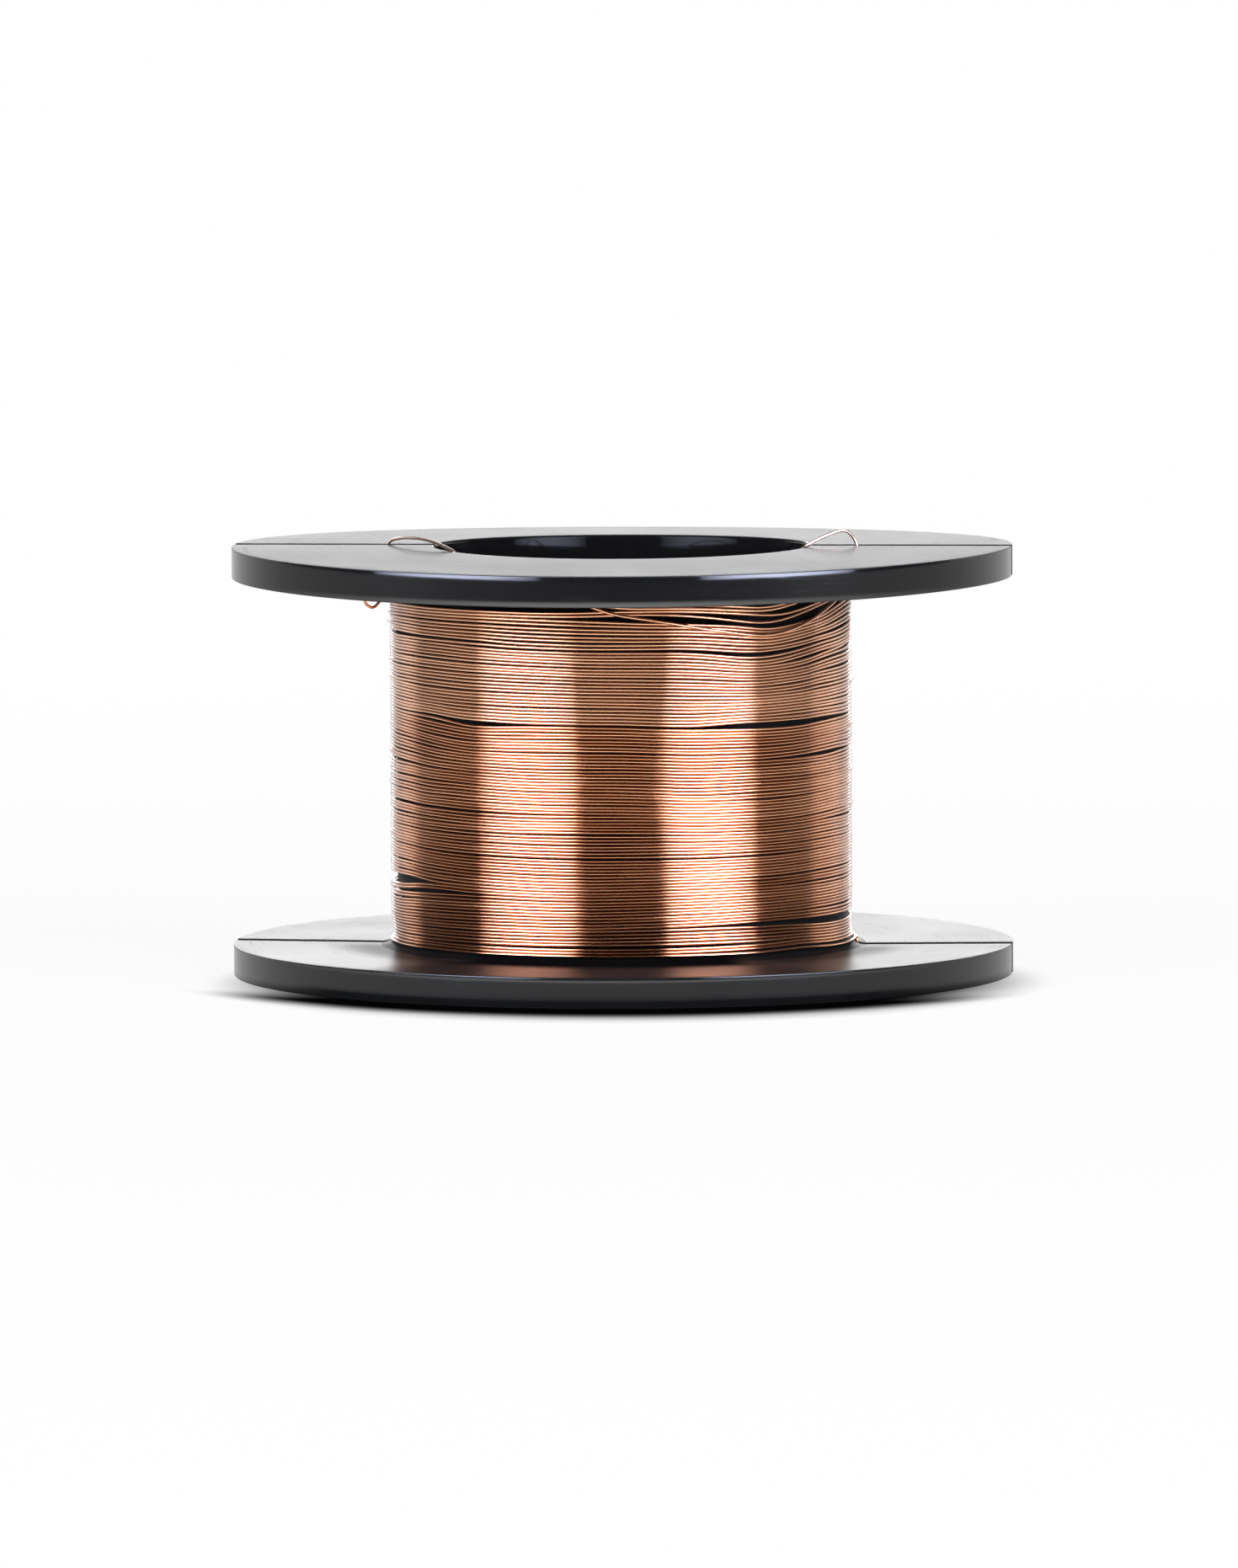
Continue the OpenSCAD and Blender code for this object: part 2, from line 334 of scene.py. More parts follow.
# Painted shade: the inner faces are mixed with a matt black at the very front, and round the
# barrel on the front half, which darkens them and dims their reflection of the copper. The ranges
# are sines of the angle towards the front, but for the one round the barrel, which is a radius.
PAINTED_SHADE_FRONT_RANGE = (0.77, 0.87)
PAINTED_SHADE_FRONT = 0.5
PAINTED_SHADE_ROOT_HALF = (-0.02, 0.25)
PAINTED_SHADE_ROOT_RANGE = (9.2 * MM, 11 * MM)
PAINTED_SHADE_ROOT = 0.5

DEEP_BLACK = rgb(0.0035, 0.0037, 0.0044)
SOFT_BLACK = rgb(0.0055, 0.0058, 0.0066)
SHADE_MATT_BLACK = rgb(0.004, 0.004, 0.005)


def moulding_material(name, shine):
    """Smooth black moulding with a faintly uneven skin, fine rubbed marks and polished rims."""
    material, nodes = new_material(name)
    place = nodes.node("ShaderNodeTexCoord", output="Object")
    angle, radius, height = around_the_spool(nodes)
    skin = nodes.noise(place, scale=SKIN_SCALE, detail=3, roughness=0.55)
    cloud = nodes.noise(place, scale=CLOUD_SCALE, detail=4)
    rubbed_place = nodes.vector(angle * MARK_LENGTH, radius * MARK_FINENESS, height * MARK_FINENESS)
    marks = nodes.spread(nodes.noise(rubbed_place, scale=1, detail=2), *MARK_RANGE)

    from_middle = nodes.math("ABSOLUTE", height - SPOOL_H / 2)
    outer = nodes.spread(from_middle, *OUTER_FACE)
    inner = 1 - nodes.spread(from_middle, *INNER_FACE)
    rim = nodes.spread(radius, *RIM_EDGE) * (1 - nodes.spread(levelness(nodes), *UPRIGHT_RANGE))
    face_rough = blend(blend(INNER_ROUGH, OUTER_ROUGH, outer), RIM_ROUGH, rim)
    rough = blend(BORE_ROUGH, face_rough, nodes.spread(radius, *BORE_EDGE))

    # Painted shade on the inner faces: a mix with matt black at the very front and round the barrel
    fronting = nodes.math("SINE", angle) * -1
    near_root = 1 - nodes.spread(radius, *PAINTED_SHADE_ROOT_RANGE)
    near_root = near_root * nodes.spread(fronting, *PAINTED_SHADE_ROOT_HALF)
    painted_shade = nodes.spread(fronting, *PAINTED_SHADE_FRONT_RANGE) * PAINTED_SHADE_FRONT + near_root * PAINTED_SHADE_ROOT
    painted_shade = inner * (1 - rim) * painted_shade

    bump = nodes.node("ShaderNodeBump", inputs={
        "Strength": SKIN_STRENGTH, "Distance": SKIN_DEPTH, "Height": skin + marks * MARK_DEPTH})
    surface = nodes.node("ShaderNodeBsdfPrincipled", inputs={
        "Base Color": nodes.colour_mix(cloud, DEEP_BLACK, SOFT_BLACK),
        "Roughness": rough + cloud * CLOUD_ROUGH + marks * MARK_ROUGH,
        "IOR": 1.5,
        "Specular IOR Level": shine,
        "Normal": bump})
    # The matt black that paints the shade on the inner faces
    matt = nodes.node("ShaderNodeBsdfDiffuse", inputs={"Color": SHADE_MATT_BLACK})
    both = nodes.shader_mix(painted_shade, surface, matt)
    nodes.node("ShaderNodeOutputMaterial", inputs={"Surface": both})
    return material


MOULDING = moulding_material("black_moulding", 0.5)
# A copy of the moulding with far less gloss: painted shade in the bore and between the roots
SHADED_WALL = moulding_material("shaded_wall", 0.05)

# ---- Half shells ----

# Steps along the section's arcs, faces, rims, barrel and bore, round half the spool, and into
# the seam
ARC_STEPS = 6
FACE_STEPS = 14
RIM_STEPS = 4
BARREL_STEPS = 8
BORE_STEPS = 12
AROUND_STEPS = 168
SEAM_STEPS = 6

# Radii that differ by less than this are the same, and points this close are one
HAIR = 0.0001 * MM
WELD = 0.0008 * MM

# Faces this close to the bore's wall get its painted shade too
SHADED_LIP = 0.03 * MM


def eased(share):
    """A share from 0 to 1 that starts and stops gently."""
    return share * share * (3 - 2 * share)


def arc(centre_r, centre_z, radius, start, stop):
    """Section points along an arc between two angles in degrees."""
    angles = np.radians(np.linspace(start, stop, ARC_STEPS + 1))
    return [(centre_r + radius * np.cos(a), centre_z + radius * np.sin(a)) for a in angles]


def straight(first, last, steps):
    """Section points strictly between two others."""
    shares = np.arange(1, steps) / steps
    return [tuple(np.array(first) * (1 - share) + np.array(last) * share) for share in shares]


def flange_section(root_t):
    """The outline of the upper flange and its root, for a flange that thick at its root."""
    top = SPOOL_H
    mouth = arc(BORE_R + MOUTH_ROUND, top - MOUTH_ROUND, MOUTH_ROUND, 180, 90)
    rim_high = arc(FLANGE_R - RIM_ROUND, top - RIM_ROUND, RIM_ROUND, 90, 0)
    rim_low = arc(FLANGE_R - RIM_ROUND, top - FLANGE_T + RIM_ROUND, RIM_ROUND, 0, -90)
    root = arc(FILLET_END_R, top - root_t - ROOT_R, ROOT_R, 90, 180)
    outline = mouth + straight(mouth[-1], rim_high[0], FACE_STEPS) + rim_high
    outline += straight(rim_high[-1], rim_low[0], RIM_STEPS) + rim_low
    return outline + straight(rim_low[-1], root[0], FACE_STEPS) + root


def spool_section():
    """The outline of the wall and both flanges on one side of the axis, as radius and height."""
    upper = flange_section(ROOT_T)
    lower = [(radius, SPOOL_H - height) for radius, height in reversed(flange_section(LOW_ROOT_T))]
    barrel = straight(upper[-1], lower[0], BARREL_STEPS)
    bore = straight(lower[-1], upper[0], BORE_STEPS)
    return np.array(upper + barrel + lower + bore)


def seam_row(radius, height, angle):
    """The section where it rounds off into the seam, at an angle in radians up to a right one."""
    y = SLIT_HALF + SEAM_ROUND * (1 - math.sin(angle))
    drop = SEAM_ROUND * (1 - math.cos(angle))
    r = np.minimum(radius, FLANGE_R - drop)
    z = np.clip(height, drop, SPOOL_H - drop)
    over = SPOOL_H - height < FLANGE_T + ROOT_T
    under = height < FLANGE_T + ROOT_T

    # The flanges' inner faces draw in as far as their outer ones
    outward = (r - FILLET_END_R) / (FLANGE_R - FILLET_END_R)
    ceiling = SPOOL_H - ROOT_T - (FLANGE_T - ROOT_T) * outward
    ground = LOW_ROOT_T + (FLANGE_T - LOW_ROOT_T) * outward
    flange = r >= FILLET_END_R - HAIR
    z = np.where(over & flange, np.maximum(z, ceiling + drop), z)
    z = np.where(under & flange, np.minimum(z, ground - drop), z)

    # The root fillets draw in more and more from the slit's end outwards
    fillet = ~flange & (r > BARREL_R + HAIR)
    open_share = np.clip((r - SLIT_R) / (FILLET_END_R - SLIT_R), 0, 1)
    z = np.where(fillet & over, z + drop * open_share, z)
    z = np.where(fillet & under, z - drop * open_share, z)
    return np.stack([np.sqrt(r ** 2 - y ** 2), np.full(len(r), y), z], 1)


def half_shell_rows():
    """The section swept round one half, from seam to seam, with the seam's edges rounded."""
    radius, height = spool_section().T
    first = np.degrees(np.arcsin((SLIT_HALF + SEAM_ROUND) / radius))
    rows = []
    for angle in np.linspace(0, 180, AROUND_STEPS + 1):
        at = np.radians(first + (180 - 2 * first) * angle / 180)
        rows.append(np.stack([radius * np.cos(at), radius * np.sin(at), height], 1))
    corners = np.radians(np.linspace(0, 90, SEAM_STEPS + 1)[1:])
    ends = [seam_row(radius, height, angle) for angle in corners]

    # Inside of the slits the halves meet on the middle plane
    wall = ends[-1].copy()
    closed = (radius < SLIT_R) & (np.abs(height - SPOOL_H / 2) < SPOOL_H / 2 - SEAM_ROUND)
    wall[closed, 1] = 0
    wall[closed, 0] = radius[closed]
    ends.append(wall)
    left = [end * (-1, 1, 1) for end in ends]
    return list(reversed(ends)) + rows + left


def crowned(points):
    """Points moved up or down as the upper flange's halves lean, less and less down the barrel."""
    share = np.clip((points[:, 2] - SPOOL_H / 2) / (SPOOL_H / 2 - ROOT_T), 0, 1)
    lean = CROWN_HIGH - CROWN_FALL * (np.abs(points[:, 1]) / FLANGE_R) ** CROWN_POWER
    return points + np.outer(eased(share) * lean, (0, 0, 1))


def shell_mesh(name, side):
    """A half shell's closed mesh, at the rear for side 1 and at the front for side -1."""
    rows = [crowned(row * (side, side, 1)) for row in half_shell_rows()]
    count = len(rows[0])
    shell = bmesh.new()
    rings = [[shell.verts.new(point) for point in row] for row in rows]
    for near, far in zip(rings, rings[1:]):
        for i in range(count):
            after = (i + 1) % count
            shell.faces.new((near[i], near[after], far[after], far[i]))
    shell.faces.new(rings[0])
    shell.faces.new(rings[-1])
    bmesh.ops.remove_doubles(shell, verts=shell.verts, dist=WELD)
    bmesh.ops.dissolve_degenerate(shell, edges=shell.edges, dist=WELD)
    walls = [face for face in shell.faces if len(face.verts) > 4]
    bmesh.ops.triangulate(shell, faces=walls)
    bmesh.ops.recalc_face_normals(shell, faces=shell.faces)
    for face in shell.faces:
        face.smooth = True
    mesh = bpy.data.meshes.new(name)
    shell.to_mesh(mesh)
    shell.free()
    return mesh


def half_shell(name, node, side):
    """One half shell, with painted shade in the bore and between the flanges' roots."""
    mesh = shell_mesh(name, side)
    mesh.materials.append(MOULDING)
    mesh.materials.append(SHADED_WALL)
    for face in mesh.polygons:
        radius = math.hypot(face.center.x, face.center.y)
        inside = LOW_ROOT_T < face.center.z < SPOOL_H - ROOT_T and radius < FILLET_END_R
        # Painted shade: faces in the bore and between the roots take the low-gloss copy
        face.material_index = int(inside or radius < BORE_R + SHADED_LIP)
    half = add_object(name, mesh)
    normals = half.modifiers.new("normals", "WEIGHTED_NORMAL")
    normals.keep_sharp = True
    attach(half, "root")
    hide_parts(node)


half_shell("front_moulding", "front_half", -1)
half_shell("rear_moulding", "rear_half", 1)

# ---- Wire ----
# Angles are in degrees from the side that faces the camera, to the right as seen from there.

FRONT = math.degrees(CAMERA_AZIMUTH) - 90
RIGHT_SLIT = -FRONT

# Turns that lie close, steps round each of them, sides of the wire, and length of a step along
# its two ends
TURNS = 101
STEPS = 108
WIRE_SIDES = 10
TAIL_STEP = 0.12 * MM

# How firmly a turn is held at the winding's edges and at a gap, next to its neighbours' pull,
# and the degrees over which that hold grows at a gap's ends
EDGE_HOLD = 1000
GAP_HOLD = 0.05
HOLD_BEFORE = 12
HOLD_AFTER = 3

# The share of a gap's width that always stays open, and the degrees that round off its corners
GAP_LEAST = 0.9
ROUND_OFF = 3

# The turns wander up and down, are nowhere quite tight on the barrel, and ride a little on each
# other. The spans say how many times a turn each of these changes.
WANDER = 0.012 * MM
WANDER_SPANS = 9
LIFT_OFF = 0.002 * MM
LIFT_MEAN = 1.5
LIFT_SPANS = 14
RIDE_UP = 0.012 * MM
RIDE_SPANS = 5

# The left side is slack: angle and reach in degrees, and the height in millimetres from where on
SLACK_SIDE = 0.12 * MM
SLACK_ANGLE = -90
SLACK_REACH = 30
SLACK_FROM = 1.3

# The degrees at the end of a turn over which it moves into the next one's place, and the steps
# that smooth the whole route
HANDOVER = 30
SMOOTHING = 5

# The open places between turns, from the top down. Each is a row of points, and each point is
# an angle in degrees, a height and a width in millimetres. They close between the rows' ends
# and the back of the spool.
GAPS = [
    [(40, 12.2, 0), (48, 12.25, 0.03), (58, 12.37, 0.05), (66, 12.49, 0.05), (75, 12.61, 0.05),
     (86, 12.68, 0.03), (100, 12.7, 0)],
    [(-95, 12.38, 0), (-84, 12.4, 0.08), (-78, 12.41, 0.09), (-70, 12.41, 0.07), (-62, 12.39, 0.04),
     (-50, 12.42, 0.02), (-40, 12.48, 0.02), (-30, 12.5, 0)],
    [(54, 12.12, 0), (62, 12.17, 0.03), (75, 12.31, 0.03), (88, 12.38, 0)],
    [(-50, 12.0, 0), (-35, 12.0, 0.02), (-10, 12.02, 0.02), (5, 12.1, 0.03), (14, 12.12, 0.05),
     (20, 12.07, 0.06), (28, 11.93, 0.08), (35, 11.85, 0.11), (42, 11.92, 0.12), (50, 12.02, 0.07),
     (58, 12.12, 0.02), (66, 12.2, 0)],
    [(25, 11.72, 0), (34, 11.67, 0.03), (40, 11.69, 0.04), (48, 11.86, 0.03), (58, 11.98, 0.03),
     (75, 12.1, 0.03), (90, 12.15, 0)],
    [(42, 11.6, 0), (49, 11.68, 0.07), (53, 11.75, 0.11), (58, 11.84, 0.08), (64, 11.93, 0.03),
     (72, 12, 0)],
    [(60, 11.75, 0), (68, 11.82, 0.02), (73, 11.86, 0.05), (80, 11.93, 0.11), (92, 11.95, 0.12),
     (110, 11.9, 0)],
    [(-82, 11.66, 0), (-70, 11.68, 0.02), (-60, 11.67, 0.025), (-40, 11.62, 0.015), (-15, 11.6, 0)],
    [(43, 11.4, 0), (50, 11.47, 0.025), (55, 11.55, 0.04), (60, 11.59, 0.07), (70, 11.64, 0.06),
     (80, 11.7, 0.1), (92, 11.72, 0.11), (115, 11.7, 0)],
    [(46, 11.33, 0), (60, 11.41, 0.015), (77, 11.53, 0.015), (90, 11.55, 0)],
    [(-95, 11.28, 0), (-84, 11.32, 0.03), (-60, 11.32, 0.02), (-45, 11.29, 0.01), (-20, 11.3, 0)],
    [(48, 11.08, 0), (60, 11.2, 0.02), (70, 11.25, 0.035), (80, 11.29, 0.06), (92, 11.3, 0.06),
     (110, 11.3, 0)],
    [(-95, 10.77, 0), (-86, 10.79, 0.015), (-70, 10.82, 0.01), (-58, 10.79, 0)],
    [(34, 10.66, 0), (43, 10.72, 0.03), (50, 10.8, 0.035), (56, 10.86, 0.03), (62, 10.88, 0)],
    [(-74, 10.74, 0), (-62, 10.69, 0.03), (-50, 10.65, 0.03), (-40, 10.61, 0.02), (-10, 10.6, 0.01),
     (12, 10.6, 0)],
    [(44, 10.56, 0), (50, 10.59, 0.02), (56, 10.64, 0.03), (62, 10.66, 0.04), (66, 10.63, 0.02),
     (70, 10.61, 0)],
    [(70, 10.69, 0), (78, 10.71, 0.02), (90, 10.68, 0)],
    [(46, 10.44, 0), (58, 10.5, 0.02), (66, 10.5, 0.015), (82, 10.49, 0)],
    [(48, 9.99, 0), (60, 10.04, 0.015), (72, 10.07, 0.04), (84, 10.06, 0.045), (105, 10.05, 0)],
    [(30, 9.77, 0), (50, 9.79, 0.015), (70, 9.83, 0.015), (88, 9.81, 0)],
    [(36, 9.66, 0), (50, 9.67, 0.03), (62, 9.71, 0.015), (85, 9.68, 0.015), (100, 9.66, 0)],
    [(-100, 9.64, 0), (-80, 9.69, 0.01), (-70, 9.65, 0.025), (-60, 9.58, 0.05), (-50, 9.51, 0.09),
     (-40, 9.44, 0.15), (-34, 9.43, 0.12), (-28, 9.44, 0.05), (-18, 9.46, 0.03), (0, 9.45, 0.03),
     (12, 9.34, 0.03), (18, 9.32, 0.03), (25, 9.37, 0.09), (32, 9.37, 0.17), (42, 9.37, 0.19),
     (52, 9.37, 0.18), (60, 9.39, 0.15), (66, 9.4, 0.12), (75, 9.41, 0.05), (86, 9.37, 0.02),
     (105, 9.36, 0)],
    [(-70, 9.54, 0), (-62, 9.45, 0.03), (-57, 9.39, 0.07), (-51, 9.36, 0.06), (-45, 9.34, 0.02),
     (-40, 9.33, 0)],
    [(46, 9.14, 0), (60, 9.22, 0.015), (75, 9.29, 0.015), (90, 9.3, 0)],
    [(-74, 9.36, 0), (-60, 9.24, 0.02), (-48, 9.12, 0.025), (-38, 9.08, 0)],
    [(-40, 9.05, 0), (-30, 9.07, 0.03), (-24, 9.1, 0.02), (-15, 9.1, 0)],
    [(-84, 9.27, 0), (-66, 9.2, 0.015), (-50, 9.06, 0.015), (-42, 9.0, 0)],
    [(-64, 9.05, 0), (-52, 8.9, 0.03), (-44, 8.84, 0.04), (-36, 8.83, 0)],
    [(-95, 8.93, 0), (-80, 8.95, 0.015), (-66, 8.89, 0.01), (-58, 8.85, 0)],
    [(-98, 8.78, 0), (-80, 8.81, 0.03), (-68, 8.77, 0.035), (-56, 8.69, 0.02), (-48, 8.64, 0)],
    [(-46, 8.68, 0), (-39, 8.68, 0.02), (-33, 8.68, 0)],
    [(70, 8.7, 0), (80, 8.71, 0.025), (98, 8.69, 0)],
    [(-98, 8.5, 0), (-80, 8.56, 0.03), (-68, 8.51, 0)],
    [(-76, 8.64, 0), (-66, 8.58, 0.03), (-56, 8.48, 0.045), (-48, 8.46, 0.02), (-43, 8.45, 0)],
    [(42, 8.39, 0), (55, 8.45, 0.02), (70, 8.51, 0.015), (79, 8.48, 0.05), (86, 8.45, 0)],
    [(-98, 8.38, 0), (-80, 8.41, 0.03), (-62, 8.34, 0.03), (-48, 8.25, 0.01), (-40, 8.2, 0)],
    [(38, 8.26, 0), (55, 8.33, 0.015), (70, 8.4, 0.015), (85, 8.32, 0)],
    [(-98, 8.24, 0), (-80, 8.28, 0.04), (-62, 8.19, 0.04), (-50, 8.1, 0.02), (-40, 8.05, 0.01),
     (-20, 8.0, 0.015), (8, 8.05, 0)],
    [(38, 8.15, 0), (47, 8.16, 0.02), (52, 8.18, 0.05), (58, 8.2, 0.12), (64, 8.23, 0.13),
     (70, 8.25, 0.09), (76, 8.25, 0.04), (86, 8.2, 0)],
    [(-92, 8.1, 0), (-80, 8.12, 0.02), (-50, 7.95, 0.015), (-35, 7.95, 0)],
    [(56, 8.0, 0), (66, 8.06, 0.02), (76, 8.1, 0.035), (88, 8.1, 0.02), (102, 8.1, 0)],
    [(-105, 7.9, 0), (-86, 7.94, 0.1), (-78, 7.92, 0.09), (-70, 7.9, 0.06), (-55, 7.88, 0.03),
     (-42, 7.77, 0)],
    [(60, 7.82, 0), (74, 7.84, 0.015), (86, 7.82, 0)],
    [(-98, 7.68, 0), (-86, 7.71, 0.03), (-70, 7.75, 0.02), (-56, 7.75, 0)],
    [(58, 7.7, 0), (75, 7.74, 0.015), (90, 7.7, 0)],
    [(-98, 7.27, 0), (-84, 7.31, 0.03), (-74, 7.35, 0.045), (-60, 7.41, 0.045), (-48, 7.36, 0.02),
     (-38, 7.28, 0)],
    [(-66, 7.23, 0), (-57, 7.25, 0.03), (-48, 7.23, 0.02), (-40, 7.2, 0)],
    [(-98, 7.0, 0), (-86, 7.06, 0.03), (-74, 7.18, 0.035), (-60, 7.16, 0.03), (-48, 7.11, 0.015),
     (-40, 7.08, 0)],
    [(8, 6.9, 0), (25, 6.94, 0.02), (35, 6.99, 0.025), (48, 6.95, 0)],
    [(-72, 7.03, 0), (-60, 7.0, 0.02), (-50, 6.94, 0)],
    [(-100, 6.88, 0), (-80, 6.92, 0.04), (-62, 6.89, 0.03), (-45, 6.79, 0.015), (-32, 6.73, 0)],
    [(32, 6.72, 0), (38, 6.74, 0.025), (55, 6.75, 0.02), (70, 6.82, 0)],
    [(-105, 6.34, 0), (-86, 6.38, 0.06), (-76, 6.43, 0.08), (-62, 6.41, 0.07), (-50, 6.36, 0.05),
     (-38, 6.31, 0.03), (-25, 6.29, 0.02), (-10, 6.28, 0)],
    [(38, 5.95, 0), (50, 6.01, 0.015), (62, 6.06, 0.03), (69, 6.09, 0.02), (75, 6.1, 0)],
    [(-100, 5.98, 0), (-84, 6.04, 0.04), (-70, 6.04, 0.04), (-58, 6.0, 0.02), (-48, 5.96, 0)],
    [(-98, 5.86, 0), (-76, 5.9, 0.02), (-52, 5.85, 0.015), (-42, 5.82, 0)],
    [(62, 5.92, 0), (74, 6.0, 0.015), (92, 5.9, 0)],
    [(54, 5.79, 0), (62, 5.81, 0.03), (70, 5.84, 0.06), (77, 5.85, 0.07), (88, 5.8, 0.03),
     (105, 5.8, 0)],
    [(-30, 5.61, 0), (-20, 5.62, 0.02), (8, 5.65, 0.015), (16, 5.65, 0)],
    [(-98, 5.54, 0), (-78, 5.57, 0.02), (-56, 5.54, 0.03), (-44, 5.51, 0.02), (-34, 5.48, 0)],
    [(32, 5.5, 0), (42, 5.54, 0.015), (60, 5.59, 0.015), (85, 5.57, 0)],
    [(-90, 5.43, 0), (-70, 5.46, 0.01), (-50, 5.41, 0)],
    [(-26, 5.3, 0), (-14, 5.33, 0.015), (0, 5.35, 0)],
    [(48, 5.33, 0), (62, 5.36, 0.025), (80, 5.36, 0.02), (98, 5.34, 0)],
    [(38, 5.06, 0), (50, 5.09, 0.02), (70, 5.11, 0.02), (88, 5.08, 0.015), (104, 5.08, 0)],
    [(-110, 4.84, 0), (-86, 4.84, 0.03), (-60, 4.82, 0.02), (-40, 4.76, 0.02), (-10, 4.72, 0.03),
     (20, 4.73, 0.03), (38, 4.74, 0.035), (55, 4.76, 0.02), (72, 4.8, 0)],
    [(50, 4.32, 0), (72, 4.37, 0.01), (88, 4.37, 0)],
    [(-110, 4.3, 0), (-86, 4.34, 0.05), (-70, 4.37, 0.045), (-58, 4.33, 0.02), (-46, 4.28, 0)],
    [(-80, 4.12, 0), (-60, 4.12, 0.01), (-40, 4.1, 0)],
    [(-86, 4.07, 0), (-74, 4.02, 0.035), (-66, 4.0, 0.02), (-56, 3.98, 0)],
    [(24, 3.98, 0), (38, 3.98, 0.025), (50, 4.0, 0.035), (70, 4.03, 0.045), (86, 4.03, 0.03),
     (105, 4.02, 0)],
    [(-100, 3.93, 0), (-85, 3.95, 0.04), (-78, 3.96, 0)],
    [(50, 3.88, 0), (70, 3.9, 0.015), (90, 3.88, 0)],
    [(-130, 3.5, 0), (-105, 3.55, 0.26), (-86, 3.57, 0.4), (-78, 3.6, 0.36), (-70, 3.63, 0.3),
     (-64, 3.64, 0.22), (-60, 3.63, 0.1), (-54, 3.6, 0)],
    [(38, 3.59, 0), (50, 3.63, 0.035), (64, 3.66, 0.04), (84, 3.67, 0.03), (104, 3.66, 0)],
    [(-60, 3.75, 0), (-54, 3.72, 0.04), (-46, 3.73, 0.01), (-32, 3.75, 0)],
    [(48, 3.49, 0), (62, 3.52, 0.02), (82, 3.53, 0.025), (102, 3.52, 0)],
    [(-94, 3.12, 0), (-80, 3.22, 0.05), (-70, 3.3, 0.08), (-64, 3.33, 0.13), (-59, 3.35, 0.14),
     (-53, 3.37, 0.11), (-47, 3.38, 0.05), (-38, 3.36, 0)],
    [(-80, 3.03, 0), (-66, 3.08, 0.02), (-50, 3.1, 0.02), (-30, 3.12, 0)],
    [(-115, 2.85, 0), (-86, 2.89, 0.04), (-74, 2.94, 0.04), (-62, 2.97, 0)],
    [(40, 2.65, 0), (52, 2.66, 0.02), (70, 2.65, 0.04), (84, 2.63, 0.06), (105, 2.62, 0)],
    [(46, 2.52, 0), (60, 2.52, 0.015), (84, 2.46, 0.035), (105, 2.44, 0)],
    [(-5, 2.36, 0), (12, 2.34, 0.02), (25, 2.34, 0.04), (35, 2.32, 0.09), (46, 2.32, 0.15),
     (55, 2.29, 0.21), (64, 2.26, 0.245), (74, 2.23, 0.25), (84, 2.18, 0.22), (100, 2.15, 0.12),
     (125, 2.15, 0)],
    [(-55, 1.6, 0), (-35, 1.58, 0.02), (0, 1.6, 0.04), (25, 1.6, 0.05), (38, 1.57, 0.03),
     (56, 1.54, 0)],
    [(8, 1.34, 0), (18, 1.36, 0.02), (26, 1.345, 0.04), (45, 1.38, 0.05), (63, 1.38, 0.05),
     (80, 1.33, 0.04), (100, 1.33, 0)],
    [(40, 1.2, 0), (52, 1.2, 0.05), (64, 1.19, 0.07), (76, 1.17, 0.05), (90, 1.17, 0)],
]

# The top of the close-laid turns, as an angle in degrees and a height in millimetres
TOP_EDGE = [(-180, 13.09), (-87, 13.2), (-70, 13.26), (-40, 13.27), (-24, 13.25), (-6, 13.2),
            (5, 13.14), (15, 13.1), (22, 13.05), (28, 13), (34, 12.88), (39, 12.8), (44, 12.76),
            (50, 12.82), (58, 13.04), (66, 13.3), (70, 13.42), (78, 13.58), (95, 13.6), (125, 13.5),
            (180, 13.2)]
LOW_EDGE = 1.09 * MM

